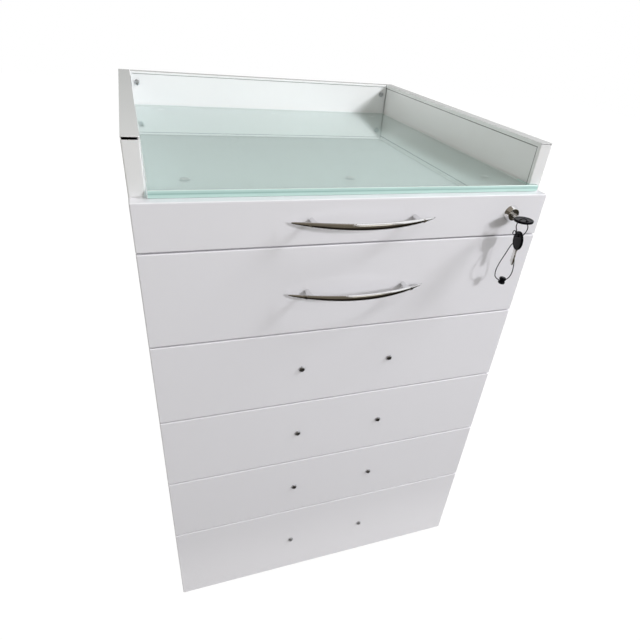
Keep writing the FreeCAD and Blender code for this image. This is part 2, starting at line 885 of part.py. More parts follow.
def drawer_front(drawer):
    """The folded pan of a drawer front, open at the back, where the tray's plate closes it."""
    low, high = front_bottom(drawer), front_top(drawer)
    block = folded_skin(
        (-half_width, half_width), (as_size(0.0), d.front_thickness), (low, high),
        (-half_width, half_width), (as_size(0.0),), (low, high),
    )
    inside = plate(
        (d.steel - half_width, half_width - d.steel),
        (d.steel, d.front_thickness + BEYOND),
        (low + d.steel, high - d.steel),
    )
    holes = screw_holes(drawer, -BEYOND, 2 * d.steel + BEYOND)
    if drawer == 1:
        holes.append(lock_hole(-BEYOND, 2 * d.steel + BEYOND))
    return drilled(block, [inside] + holes)


def tray_floor(drawer):
    low = tray_bottom(drawer)
    return plate(
        (d.steel - tray_half, tray_half - d.steel),
        (plate_back, d.tray_back - d.steel),
        (low, low + d.steel),
    )


def tray_side(drawer, side):
    """A side of a tray, its upper edge folded inwards as a rim."""
    low, high = tray_bottom(drawer), tray_top(drawer)
    wall = plate(span(side, tray_half - d.steel, tray_half), (plate_back, d.tray_back), (low, high))
    rim = plate(
        span(side, tray_half - d.steel - d.tray_hem, tray_half),
        (plate_back, d.tray_back - d.steel),
        (high - d.steel, high),
    )
    start, level = side * (tray_half - 3 * d.steel), slide_level(drawer)
    holes = [
        rod(d.screw_shank + 0.3, 6 * d.steel, start, y, level, (side, 0, 0))
        for y in rail_screw_places()
    ]
    return drilled(joined([wall, rim]), holes)


def tray_end(drawer):
    """The back of a tray, its upper edge folded forwards between the sides' rims."""
    low, high = tray_bottom(drawer), tray_top(drawer)
    between = tray_half - d.steel
    wall = plate((-between, between), (d.tray_back - d.steel, d.tray_back), (low, high))
    between_rims = between - d.tray_hem
    rim = plate(
        (-between_rims, between_rims),
        (d.tray_back - d.steel - d.tray_hem, d.tray_back),
        (high - d.steel, high),
    )
    return joined([wall, rim])


def closing_plate(drawer):
    """The plate that closes the back of a drawer's front and carries its tray."""
    closing = plate(
        (d.steel - half_width, half_width - d.steel),
        (plate_back - d.steel, plate_back),
        (front_bottom(drawer) + d.steel, front_top(drawer) - d.steel),
    )
    holes = screw_holes(drawer, plate_back - 2 * d.steel, 4 * d.steel)
    if drawer == 1:
        holes.append(lock_hole(plate_back - 2 * d.steel, 4 * d.steel))
    return drilled(closing, holes)


def drawer_tray(drawer):
    """A tray of five folded sheets, welded edge to edge."""
    sides = [tray_side(drawer, side) for side in SIDES.values()]
    return grouped([closing_plate(drawer), tray_floor(drawer), tray_end(drawer)] + sides)


for n in DRAWERS:
    node(drawer_front(n), f"drawer_{n}_front")
    node(drawer_tray(n), f"drawer_{n}_tray")
    node(grouped([copied(rail, 0.0, 0.0, slide_level(n)) for rail in inner_rails]), f"drawer_{n}_rails")
    node(drawer_fasteners(n), f"drawer_{n}_fasteners")

bracket_screws = [
    copied(bracket_screw, side * bracket_x, back_liner, level, FACING["front"])
    for side in SIDES.values()
    for level in BRACKET_LEVELS
]
node(grouped(bracket_screws), "bracket_screws")


# ---- bow handles ----

BOW_STATIONS = (0.0, 0.22, 0.42, 0.6, 0.75, 0.87, 0.95, 1.0)
BOW_END = 0.9


def bow_y(share):
    """Distance of the bow's middle line from the drawer face, at a share of its half length."""
    return -(d.handle_reach - (d.handle_reach - d.handle_tip_reach) * share * share)


def bow(level):
    """The curved bar, of elliptical section, widest at its middle and fine at its tips."""
    sections = []
    rise = float(d.handle_reach - d.handle_tip_reach) / float(d.handle_length / 2)
    for share in [-s for s in BOW_STATIONS[:0:-1]] + list(BOW_STATIONS):
        along = Vector(1, 2 * rise * share, 0).normalize()
        up = Vector(0, 0, 1)
        rotation = Rotation(up, along.cross(up), along)
        fullness = 1 - share * share
        tall = d.handle_width / 2 * fullness**0.7 + BOW_END * (1 - fullness)
        deep = d.handle_thickness / 2 * fullness**0.4 + 0.6 * BOW_END * (1 - fullness)
        sections.append(ellipse(tall, deep, d.handle_length / 2 * share, bow_y(share), level, rotation))
    return lofted(sections)


# A foot's sections: share of its reach, share of its spreading, and half height in foot diameters.
FOOT_SECTIONS = ((0.0, 0.0, 0.49), (0.45, 0.04, 0.46), (0.75, 0.36, 0.43), (1.0, 1.0, 0.4))


def handle_foot(side, level):
    """A foot that is round on the drawer face and spreads along the bow where they join."""
    reach = bow_y(float(screw_x) / float(d.handle_length / 2))
    sections = []
    for outward, spreading, tall in FOOT_SECTIONS:
        width = d.foot_diameter + (d.foot_spread - d.foot_diameter) * spreading
        height = d.foot_diameter * tall
        sections.append(ellipse(width / 2, height, side * screw_x, reach * outward, level, UPRIGHT))
    return lofted(sections)


def handle(drawer):
    level = handle_level(drawer)
    metal = joined([bow(level)] + [handle_foot(side, level) for side in SIDES.values()])
    threads = [
        rod(d.screw_shank + 0.1, 7.0, side * screw_x, BEYOND, level, (0, -1, 0))
        for side in SIDES.values()
    ]
    return drilled(metal, threads)


for n in HANDLED:
    node(handle(n), f"drawer_{n}_handle")


# ---- lock ----

plug_face = 0.5 - d.lock_face
plug_back = d.lock_length + 0.5
CAM_SCREW_HEAD = 9.0


def lock_housing():
    flange = cone(
        d.lock_flange, d.lock_face_diameter, d.lock_face, d.lock_x, 0.0, lock_z, (0, -1, 0)
    )
    soft = rounded(flange, 0.8, lambda edge: lies_at(edge, y=-d.lock_face))
    barrel = rod(d.lock_barrel, d.lock_length, d.lock_x, 0.0, lock_z, (0, 1, 0))
    bore = rod(
        d.plug_diameter + d.lock_fit, d.lock_face + d.lock_length + 2.0,
        d.lock_x, -d.lock_face - BEYOND, lock_z, (0, 1, 0),
    )
    return drilled(joined([soft, barrel]), [bore])


def lock_nut():
    nut = hexagon(d.lock_nut_width, d.lock_nut_height, d.lock_x, plate_back, lock_z, (0, 1, 0))
    bore = rod(
        d.lock_barrel + 2 * d.lock_fit, d.lock_nut_height + 2.0,
        d.lock_x, plate_back - BEYOND, lock_z, (0, 1, 0),
    )
    return drilled(nut, [bore])


def lock_plug():
    """The turning plug: a keyway in front, a square end behind for the cam."""
    barrel = rod(d.plug_diameter, plug_back - plug_face, d.lock_x, plug_face, lock_z, (0, 1, 0))
    tang = plate(
        about(d.lock_x, d.plug_tang),
        (plug_back - BEYOND, plug_back + d.cam_thickness),
        about(lock_z, d.plug_tang),
    )
    keyway = plate(
        about(d.lock_x, d.key_blade_width + 0.6),
        (plug_face - BEYOND, plug_face + 15.0),
        about(lock_z, d.key_blade_thickness + 0.4),
    )
    thread = rod(d.screw_shank + 0.1, 10.0, d.lock_x, plug_back + d.cam_thickness, lock_z, (0, -1, 0))
    return drilled(joined([barrel, tang]), [keyway, thread])


def lock_cam():
    """The cam: a flat tongue that points left while the lock is open."""
    behind = (plug_back, plug_back + d.cam_thickness)
    tip = d.lock_x - d.cam_reach
    tongue = plate((tip, d.lock_x), behind, about(lock_z, d.cam_width))
    boss = rod(d.cam_width, d.cam_thickness, d.lock_x, plug_back, lock_z, (0, 1, 0))
    soft = rounded(tongue, 3.0, lambda edge: lies_at(edge, x=tip) and edge.BoundBox.ZLength < 0.01)
    hole = plate(
        about(d.lock_x, d.plug_tang + 0.1),
        (plug_back - BEYOND, plug_back + d.cam_thickness + BEYOND),
        about(lock_z, d.plug_tang + 0.1),
    )
    return drilled(joined([soft, boss]), [hole])


def lock_strike():
    """An angle under the deck, in front of the cam when the lock is closed."""
    across = about(d.lock_x, d.strike_width)
    rear = d.lock_length
    ceiling = deck - d.steel
    lower_end = lock_z + d.lock_barrel / 2 + 1.0
    hanging = plate(across, (rear - 1.2, rear), (lower_end, ceiling))
    flat = plate(across, (carcass + d.steel, rear), (ceiling - 1.2, ceiling))
    return joined([hanging, flat])


cam_screw_master = pan_screw(d.screw_shank, as_size(9.0), as_size(CAM_SCREW_HEAD), d.head_height)
node(lock_housing(), "lock_housing")
node(lock_nut(), "lock_nut")
node(lock_plug(), "lock_plug")
node(lock_cam(), "lock_cam")
node(
    grouped([copied(cam_screw_master, d.lock_x, plug_back + d.cam_thickness, lock_z, FACING["back"])]),
    "lock_cam_screw",
)
node(lock_strike(), "lock_strike")


# ---- keys: each drawn about its cord hole, with its blade hanging down ----

TANG_WIDTH = 10.0
TANG_DEPTH = 12.0
CUT_PLACES = (5.0, 9.0, 13.5)
CUT_DIAMETER = 3.2
TIP_NOTCH = (1.2, 2.4)
head_end = d.key_hole_inset
head_foot = head_end - d.key_head_length


def key_blade():
    blade = plate(
        about(as_size(0.0), d.key_blade_width),
        about(as_size(0.0), d.key_blade_thickness),
        (head_foot - d.key_blade_length, head_foot + BEYOND),
    )
    tang = plate(
        about(as_size(0.0), as_size(TANG_WIDTH)),
        about(as_size(0.0), d.key_blade_thickness),
        (head_foot, head_foot + TANG_DEPTH),
    )
    notch_start, notch_height = TIP_NOTCH
    blade_end = head_foot - d.key_blade_length
    notch = plate(
        (as_size(notch_start), d.key_blade_width),
        about(as_size(0.0), 2 * d.key_blade_thickness),
        (blade_end - BEYOND, blade_end + notch_height),
    )
    cuts = [
        rod(
            as_size(CUT_DIAMETER), 2 * d.key_head_thickness,
            d.key_blade_width / 2 + 0.5, -d.key_head_thickness, head_foot - place, (0, 1, 0),
        )
        for place in CUT_PLACES
    ]
    return drilled(joined([blade, tang]), [notch] + cuts)


def key_head():
    """The oval plastic head moulded round the blade's tang, each face sunken inside a rim."""
    body = new_body("head")
    sketch = new_sketch(body, "XZ_Plane")
    centre = (head_end + head_foot) / 2
    middle = Vector(0, float(centre), 0)
    side_end = Vector(float(d.key_head_width) / 2, float(centre), 0)
    top_end = Vector(0, float(head_end), 0)
    oval = sketch.addGeometry(Part.Ellipse(side_end, top_end, middle))
    sketch.exposeInternalGeometry(oval)
    hold(sketch, "DistanceX", oval, 3, as_size(0.0))
    hold(sketch, "DistanceY", oval, 3, centre)
    major_axis, minor_axis = oval + 1, oval + 2
    for line, length in ((major_axis, d.key_head_width), (minor_axis, d.key_head_length)):
        index = sketch.addConstraint(Sketcher.Constraint("Distance", line, float(length)))
        sketch.setExpression(f"Constraints[{index}]", length.text)
    sketch.addConstraint(Sketcher.Constraint("Horizontal", major_axis))
    pad(body, sketch, d.key_head_thickness, midplane=True)
    dress(
        body, "PartDesign::Fillet", "Radius", as_size(1.1),
        lambda edge: edge.BoundBox.YLength < 0.01,
    )
    hole = new_sketch(body, "XZ_Plane")
    add_circle(hole, as_size(0.0), as_size(0.0), d.key_hole)
    pocket(body, hole, d.key_head_thickness * 2, midplane=True)
    slot = new_sketch(body, "XY_Plane", head_foot - BEYOND)
    add_outline(
        slot,
        [
            (-TANG_WIDTH / 2, -d.key_blade_thickness / 2), (TANG_WIDTH / 2, -d.key_blade_thickness / 2),
            (TANG_WIDTH / 2, d.key_blade_thickness / 2), (-TANG_WIDTH / 2, d.key_blade_thickness / 2),
        ],
    )
    pocket(body, slot, TANG_DEPTH + BEYOND, backwards=True)
    half_width_inside = d.key_head_width / 2 - d.key_rim_width
    half_length_inside = d.key_head_length / 2 - d.key_rim_width
    faces = []
    for side in (-1, 1):
        sunken = side * (d.key_head_thickness / 2 - d.key_rim_height)
        ends = (sunken, sunken + side * BEYOND)
        faces.append(
            lofted([ellipse(half_width_inside, half_length_inside, 0.0, y, centre, UPRIGHT) for y in ends])
        )
    return drilled(body, faces)


IN_LOCK = (d.lock_x, d.key_hole_inset - d.key_reach, lock_z, Rotation(Vector(1, 0, 0), 90))
SPARE = (*map(as_size, SPARE_HOLE), Rotation(Vector(0, 0, 1), SPARE_TURN))
blade_master, head_master = key_blade(), key_head()
for prefix, (x, y, z, rotation) in (("key", IN_LOCK), ("spare_key", SPARE)):
    node(grouped([copied(blade_master, x, y, z, rotation)]), f"{prefix}_blade")
    node(grouped([copied(head_master, x, y, z, rotation)]), f"{prefix}_head")


# ---- cord and bead ----


def bead():
    """A two-lobed bead that closes over the cord's ends."""
    lobe = d.bead_height * 0.47
    lobes = [
        rounded(
            rod(d.bead_diameter, lobe, 0.0, 0.0, start, (0, 0, 1)),
            lobe * 0.42,
            lambda edge: edge.BoundBox.ZLength < 0.01,
        )
        for start in (-d.bead_height / 2, d.bead_height / 2 - lobe)
    ]
    core = rod(d.bead_diameter * 0.8, d.bead_height * 0.5, 0.0, 0.0, -d.bead_height / 4, (0, 0, 1))
    return joined(lobes + [core])


def cord_path(points):
    """Straight runs joined by tangent arcs, each arc as large as its two runs allow."""
    corners = [Vector(*point) for point in points]
    edges, radii = [], []
    start = corners[0]
    for before, corner, after in zip(corners, corners[1:], corners[2:]):
        run_in, run_out = corner - before, after - corner
        reach = 0.45 * min(run_in.Length, run_out.Length)
        into, out = run_in.normalize(), run_out.normalize()
        half_turn = into.getAngle(out) / 2
        radii.append(reach / math.tan(half_turn))
        arc_start, arc_end = corner - into * reach, corner + out * reach
        sagitta = reach * math.tan(half_turn / 2)
        middle = (arc_start + arc_end) / 2
        bulge = (corner - middle).normalize()
        edges.append(Part.LineSegment(start, arc_start).toShape())
        crown = middle + bulge * sagitta * math.cos(half_turn)
        edges.append(Part.Arc(arc_start, crown, arc_end).toShape())
        start = arc_end
    edges.append(Part.LineSegment(start, corners[-1]).toShape())
    return Part.Wire(edges), radii


def cord_tube():
    """A tube along the cord's path."""
    path, radii = cord_path(CORD_POINTS)
    corners = [Vector(*point) for point in CORD_POINTS]
    direction = corners[1] - corners[0]
    section = Part.Wire(Part.makeCircle(float(d.cord_diameter) / 2, corners[0], direction))
    tube = path.makePipeShell([section], True, True)
    cord = doc.addObject("Part::Feature", "cord")
    cord.Shape = tube
    runs = [(b - a).Length for a, b in zip(corners, corners[1:])]
    swept = math.pi * float(d.cord_diameter) ** 2 / 4 * path.Length
    print("cord runs", " ".join(f"{run:.1f}" for run in runs))
    print("cord radii", " ".join(f"{radius:.1f}" for radius in radii))
    print(f"cord length {path.Length:.1f}, volume {tube.Volume:.2f}, section x length {swept:.2f}")
    return cord


node(
    grouped([copied(bead(), *map(as_size, BEAD_MIDDLE), Rotation(Vector(0, 1, 0), BEAD_TILT))]),
    "cord_bead",
)
node(cord_tube(), "key_cord")


# ---- checks and export ----

doc.recompute()
for thing in doc.Objects:
    if {"Invalid", "Error"} & set(thing.State):
        raise RuntimeError(f"{thing.Label} ({thing.Name}): {thing.State}")
os.makedirs("parts", exist_ok=True)
for piece in nodes:
    shape = piece.Shape
    if shape.isNull() or not shape.isValid():
        raise RuntimeError(f"{piece.Label} has no valid shape")
    shape.exportStep(f"parts/{piece.Label}.step")
print(len(nodes), "nodes written")
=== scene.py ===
import json
import math
import bpy
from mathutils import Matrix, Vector


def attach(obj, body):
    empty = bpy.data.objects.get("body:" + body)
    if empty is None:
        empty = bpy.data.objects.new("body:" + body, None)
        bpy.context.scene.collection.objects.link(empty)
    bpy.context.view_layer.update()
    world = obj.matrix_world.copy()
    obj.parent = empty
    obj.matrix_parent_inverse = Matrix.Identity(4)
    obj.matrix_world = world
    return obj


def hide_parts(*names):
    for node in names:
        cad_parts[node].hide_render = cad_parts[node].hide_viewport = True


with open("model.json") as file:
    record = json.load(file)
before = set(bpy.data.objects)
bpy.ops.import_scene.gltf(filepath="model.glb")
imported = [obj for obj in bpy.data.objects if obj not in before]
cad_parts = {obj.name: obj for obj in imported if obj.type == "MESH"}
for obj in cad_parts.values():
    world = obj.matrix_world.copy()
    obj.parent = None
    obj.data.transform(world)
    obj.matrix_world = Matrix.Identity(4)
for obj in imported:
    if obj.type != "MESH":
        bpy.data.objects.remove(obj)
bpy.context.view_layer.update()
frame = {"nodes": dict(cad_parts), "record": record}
nodes = frame["nodes"]
print("cabinet loaded,", len(nodes), "nodes")


# where the camera stands, in metres and degrees
camera = {
    "place": (-0.2359, -0.74366, 0.86511),
    "turn": (55.75, -5.065, -19.25),
    "lens": 28.326, "sensor": 36.0,
    "shift": (-0.0207, 0.0472),
    "clip": (0.02, 60.0),
}


def placeCamera():
    data = bpy.data.cameras.new("camera")
    data.lens = camera["lens"]
    data.sensor_width = camera["sensor"]
    data.shift_x, data.shift_y = camera["shift"]
    data.clip_start, data.clip_end = camera["clip"]
    cam = bpy.data.objects.new("camera", data)
    cam.location = camera["place"]
    cam.rotation_euler = [math.radians(a) for a in camera["turn"]]
    bpy.context.scene.collection.objects.link(cam)
    bpy.context.scene.camera = cam


placeCamera()
print("camera placed")


# the loop of cord on the key: it leaves the bead, climbs behind the spare key to the key in
# the lock, comes down with a small curl, goes through the spare key's head and returns
keyCord = {
    "diameter": 0.0012,
    "length": 0.229,
    "smooth": 14, "round": 5,
    "route": [
        (0.1974, -0.25925, 0.5885),
        (0.2037, -0.25925, 0.5901),
        (0.2076, -0.25925, 0.5971),
        (0.2070, -0.25945, 0.6081),
        (0.2042, -0.25905, 0.6193),
        (0.2024, -0.25685, 0.6297),
        (0.2036, -0.25625, 0.6401),
        (0.2046, -0.25965, 0.6489),
        (0.2064, -0.26285, 0.6561),
        (0.2064, -0.26385, 0.6625),
        (0.2036, -0.26385, 0.6671),
        (0.2024, -0.26365, 0.6711),
        (0.1994, -0.26305, 0.6736),
        (0.1932, -0.26265, 0.6738),
        (0.1888, -0.26285, 0.6699),
        (0.1876, -0.26365, 0.6643),
        (0.1899, -0.26485, 0.6596),
        (0.1890, -0.26525, 0.6549),
        (0.1852, -0.26485, 0.6551),
        (0.1854, -0.26385, 0.6591),
        (0.1896, -0.26285, 0.6593),
        (0.1922, -0.26085, 0.6551),
        (0.1964, -0.26145, 0.6521),
        (0.2012, -0.26285, 0.6511),
        (0.2040, -0.25945, 0.6463),
        (0.2044, -0.25265, 0.6401),
        (0.2004, -0.25085, 0.6355),
        (0.1948, -0.25445, 0.6315),
        (0.1894, -0.25645, 0.6233),
        (0.1836, -0.25785, 0.6137),
        (0.1806, -0.25845, 0.6025),
        (0.1834, -0.25885, 0.5923),
        (0.1934, -0.25925, 0.5887),
    ],
}


def makeCord():
    curve = bpy.data.curves.new("key_loop_cord", "CURVE")
    curve.dimensions = "3D"
    spline = curve.splines.new("NURBS")
    spline.points.add(len(keyCord["route"]) - 1)
    for point, place in zip(spline.points, keyCord["route"]):
        point.co = (*place, 1.0)
        point.radius = keyCord["diameter"] / 2
    spline.order_u = 3
    spline.use_endpoint_u = True
    spline.resolution_u = keyCord["smooth"]
    curve.bevel_depth = 1.0  # each point's radius gives the thickness
    curve.bevel_resolution = keyCord["round"]
    curve.use_fill_caps = True
    cord = bpy.data.objects.new("key_loop_cord", curve)
    bpy.context.scene.collection.objects.link(cord)
    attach(cord, "key_loop")
    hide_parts("key_cord")
    return cord


cord = makeCord()
print("cord made,", len(keyCord["route"]), "points")


# each finish: light and dark are mixed by a slow noise, cloud sets its size, grain is the
# size in metres of the relief, and coat is the weight and roughness of a clear layer
frontCoat = {
    "light": (0.870, 0.858, 0.898), "dark": (0.852, 0.840, 0.882), "cloud": 2.6,
    "roughness": (0.13, 0.18), "grain": 0.0024, "relief": 0.00004, "strength": 0.06,
    "coat": (0.3, 0.05),
}
wallCoat = {
    "light": (0.870, 0.868, 0.875), "dark": (0.850, 0.848, 0.856), "cloud": 2.6,
    "roughness": (0.16, 0.22), "grain": 0.0024, "relief": 0.00004, "strength": 0.06,
    "coat": (0.3, 0.05),
}
trayCoat = {
    "light": (0.72, 0.72, 0.725), "dark": (0.69, 0.69, 0.695), "cloud": 6.0,
    "roughness": (0.40, 0.52), "grain": 0.0012, "relief": 0.00005, "strength": 0.15,
}
chrome = {
    "light": (0.86, 0.86, 0.87), "dark": (0.82, 0.82, 0.83), "cloud": 40.0,
    "roughness": (0.05, 0.09), "grain": 0.0016, "relief": 0.00002, "strength": 0.03,
    "metallic": 1.0,
}
zinc = {
    "light": (0.66, 0.67, 0.69), "dark": (0.52, 0.53, 0.55), "cloud": 90.0,
    "roughness": (0.28, 0.45), "grain": 0.0006, "relief": 0.00004, "strength": 0.15,
    "metallic": 1.0, "stretch": (1, 0.2, 1),
}
nickel = {
    "light": (0.86, 0.85, 0.83), "dark": (0.68, 0.67, 0.65), "cloud": 120.0,
    "roughness": (0.18, 0.32), "grain": 0.0005, "relief": 0.00003, "strength": 0.12,
    "metallic": 1.0,
}
headPlastic = {
    "light": (0.005, 0.005, 0.007), "dark": (0.003, 0.003, 0.004), "cloud": 90.0,
    "roughness": (0.10, 0.18), "grain": 0.0010, "relief": 0.00003, "strength": 0.10,
    "specular": 0.08,
}
cordRubber = {
    "light": (0.010, 0.010, 0.011), "dark": (0.005, 0.005, 0.006), "cloud": 400.0,
    "roughness": (0.45, 0.65), "grain": 0.0004, "relief": 0.00006, "strength": 0.35,
    "specular": 0.05,
}
glidePlastic = {
    "light": (0.035, 0.035, 0.036), "dark": (0.022, 0.022, 0.023), "cloud": 120.0,
    "roughness": (0.50, 0.70), "grain": 0.0007, "relief": 0.00005, "strength": 0.30,
}
# the part of the slow noise's range that is used
cloudRange = (0.2, 0.8)


def newFinish(name):
    material = bpy.data.materials.new(name)
    material.use_nodes = True
    tree = material.node_tree
    return material, tree, tree.nodes["Principled BSDF"]


def solid(colour):
    return (*colour, 1)


# a socket gets a link, and anything else becomes the input's own value


def feed(tree, value, entry):
    if isinstance(value, bpy.types.NodeSocket):
        tree.links.new(value, entry)
    elif value is not None:
        entry.default_value = value


def addMath(tree, operation, first, second=None):
    step = tree.nodes.new("ShaderNodeMath")
    step.operation = operation
    feed(tree, first, step.inputs[0])
    feed(tree, second, step.inputs[1])
    return step.outputs[0]


def addRange(tree, value, source, target=(0.0, 1.0), bend="LINEAR"):
    step = tree.nodes.new("ShaderNodeMapRange")
    step.interpolation_type = bend
    names = ("From Min", "From Max", "To Min", "To Max")
    for name, number in zip(names, (*source, *target)):
        step.inputs[name].default_value = number
    feed(tree, value, step.inputs["Value"])
    return step.outputs["Result"]


def addRamp(tree, value, stops, bend="LINEAR"):
    ramp = tree.nodes.new("ShaderNodeValToRGB")
    ramp.color_ramp.interpolation = bend
    elements = ramp.color_ramp.elements
    while len(elements) < len(stops):
        elements.new(0.5)
    for element, (position, colour) in zip(elements, stops):
        element.position = position
        element.color = solid(colour)
    feed(tree, value, ramp.inputs["Fac"])
    return ramp.outputs["Color"]


# inputs 6 and 7 and output 2 of this node are its colours


def mixColours(tree, factor, first, second, blend="MIX"):
    mix = tree.nodes.new("ShaderNodeMix")
    mix.data_type = "RGBA"
    mix.blend_type = blend
    feed(tree, factor, mix.inputs[0])
    feed(tree, first, mix.inputs[6])
    feed(tree, second, mix.inputs[7])
    return mix.outputs[2]


def mixShaders(tree, factor, first, second):
    mix = tree.nodes.new("ShaderNodeMixShader")
    feed(tree, factor, mix.inputs[0])
    tree.links.new(first, mix.inputs[1])
    tree.links.new(second, mix.inputs[2])
    return mix.outputs[0]


def addGlow(tree, colour, strength=1.0):
    glow = tree.nodes.new("ShaderNodeEmission")
    feed(tree, colour, glow.inputs["Color"])
    glow.inputs["Strength"].default_value = strength
    return glow.outputs[0]


def addClear(tree, colour=(1, 1, 1)):
    clear = tree.nodes.new("ShaderNodeBsdfTransparent")
    clear.inputs["Color"].default_value = solid(colour)
    return clear.outputs[0]


def closeTree(tree, shader, output="Material Output"):
    tree.links.new(shader, tree.nodes[output].inputs["Surface"])


# X, Y and Z of the piece's own coordinates, or of its normal


def splitAxes(tree, kind="Object"):
    coordinates = tree.nodes.new("ShaderNodeTexCoord")
    axes = tree.nodes.new("ShaderNodeSeparateXYZ")
    tree.links.new(coordinates.outputs[kind], axes.inputs[0])
    return axes.outputs


def addNoise(tree, scale, detail, stretch=(1, 1, 1)):
    coordinates = tree.nodes.new("ShaderNodeTexCoord")
    mapping = tree.nodes.new("ShaderNodeMapping")
    mapping.inputs["Scale"].default_value = stretch
    noise = tree.nodes.new("ShaderNodeTexNoise")
    noise.inputs["Scale"].default_value = scale
    noise.inputs["Detail"].default_value = detail
    tree.links.new(coordinates.outputs["Object"], mapping.inputs["Vector"])
    tree.links.new(mapping.outputs["Vector"], noise.inputs["Vector"])
    return noise.outputs["Fac"]


def fillFinish(name, look):
    material, tree, shader = newFinish(name)
    stretch = look.get("stretch", (1, 1, 1))
    cloud = addNoise(tree, look["cloud"], 1.0, stretch)
    grain = addNoise(tree, 1.0 / look["grain"], 2.0, stretch)
    stops = list(zip(cloudRange, (look["dark"], look["light"])))
    feed(tree, addRamp(tree, cloud, stops, "EASE"), shader.inputs["Base Color"])
    feed(tree, addRange(tree, cloud, cloudRange, look["roughness"]), shader.inputs["Roughness"])
    bump = tree.nodes.new("ShaderNodeBump")
    bump.inputs["Strength"].default_value = look["strength"]
    bump.inputs["Distance"].default_value = look["relief"]
    tree.links.new(grain, bump.inputs["Height"])
    tree.links.new(bump.outputs["Normal"], shader.inputs["Normal"])
    shader.inputs["Metallic"].default_value = look.get("metallic", 0.0)
    if "specular" in look:
        shader.inputs["Specular IOR Level"].default_value = look["specular"]
    if "coat" in look:
        shader.inputs["Coat Weight"].default_value = look["coat"][0]
        shader.inputs["Coat Roughness"].default_value = look["coat"][1]
    return material


# painted shade in the crevice where an inner skin runs under the outer skin's lip, a dark line
# standing in for the lip's shadow: from the lip's edge to the shade's end in metres, and soft is
# the share of that over which it fades in
creviceShade = {
    "shade": 0.25, "soft": 0.3,
    "side liner": {"Y": (-0.20805, -0.20555), "Z": (0.7450, 0.7434)},
    "back liner": {"Z": (0.7470, 0.7460)},
}


def makeLiner(name):
    material = fillFinish(name, wallCoat)
    tree = material.node_tree
    base = tree.nodes["Principled BSDF"].inputs["Base Color"]
    colour = base.links[0].from_socket
    place = splitAxes(tree)
    depth = None
    for axis, (edge, end) in creviceShade[name].items():
        full = creviceShade["soft"] * edge + (1 - creviceShade["soft"]) * end
        reach = addRange(tree, place[axis], (end, full))
        depth = reach if depth is None else addMath(tree, "MAXIMUM", depth, reach)
    # the liner's colour is multiplied down next to the lip: painted shade of the crevice
    shade = solid([creviceShade["shade"]] * 3)
    feed(tree, mixColours(tree, depth, colour, shade, "MULTIPLY"), base)
    return material


# the pane: clear green-tinted body, and a ground edge coloured by height through its thickness,
# with painted highlights and a painted dark line over the glass's own green
paneGlass = {
    "tint": (0.72, 0.82, 0.80), "lampTint": (0.96, 0.99, 0.985), "ior": 1.52,
    "edgeHeights": (0.6925, 0.7015),
    "edgeHighlightBands": (
        (0.00, (0.78, 0.92, 0.89)), (0.12, (0.65, 0.86, 0.81)), (0.42, (0.60, 0.83, 0.78)),
        (0.55, (0.36, 0.58, 0.54)), (0.66, (0.55, 0.77, 0.73)), (0.88, (0.62, 0.83, 0.79)),
        (0.95, (0.90, 0.98, 0.95)),
    ),
    "edgeRoughness": 0.22, "edgeClear": 0.12, "edgePaintedLight": (0.93, 0.955, 0.945), "bandedTo": -0.19,
    "uprightBelow": 0.9,
}
padSilicone = {
    "colour": (0.93, 0.96, 0.95), "share": 0.15, "cloud": 300.0, "roughness": (0.25, 0.45),
}


def makePane():
    material, tree, shader = newFinish("pane glass")
    shader.inputs["Base Color"].default_value = solid(paneGlass["tint"])
    shader.inputs["Roughness"].default_value = 0.0
    shader.inputs["IOR"].default_value = paneGlass["ior"]
    shader.inputs["Transmission Weight"].default_value = 1.0
    # lamp light and the deck's own glow pass straight through the body
    path = tree.nodes.new("ShaderNodeLightPath").outputs
    straight = addMath(tree, "MAXIMUM", path["Is Shadow Ray"], path["Is Diffuse Ray"])
    clear = addClear(tree, paneGlass["lampTint"])
    body = mixShaders(tree, straight, shader.outputs[0], clear)
    # along the front the edge gets painted bands of highlight and shade, and the other edges are
    # painted pale in place of light carried inside the glass
    place = splitAxes(tree)
    height = addRange(tree, place["Z"], paneGlass["edgeHeights"])
    paintedEdgeBands = addRamp(tree, height, paneGlass["edgeHighlightBands"])
    front = addMath(tree, "LESS_THAN", place["Y"], paneGlass["bandedTo"])
    edge = tree.nodes.new("ShaderNodeBsdfPrincipled")
    edge.inputs["Roughness"].default_value = paneGlass["edgeRoughness"]
    edge.inputs["IOR"].default_value = paneGlass["ior"]
    edge.inputs["Transmission Weight"].default_value = paneGlass["edgeClear"]
    colour = mixColours(tree, front, solid(paneGlass["edgePaintedLight"]), paintedEdgeBands)
    feed(tree, colour, edge.inputs["Base Color"])
    # the upright faces are the edge
    level = addMath(tree, "ABSOLUTE", splitAxes(tree, "Normal")["Z"])
    upright = addMath(tree, "LESS_THAN", level, paneGlass["uprightBelow"])
    closeTree(tree, mixShaders(tree, upright, body, edge.outputs[0]))
    return material


def makePads():
    material, tree, shader = newFinish("pad silicone")
    cloud = addNoise(tree, padSilicone["cloud"], 2.0)
    roughness = addRange(tree, cloud, (0.0, 1.0), padSilicone["roughness"])
    feed(tree, roughness, shader.inputs["Roughness"])
    shader.inputs["Base Color"].default_value = solid(padSilicone["colour"])
    closeTree(tree, mixShaders(tree, padSilicone["share"], addClear(tree), shader.outputs[0]))
    return material


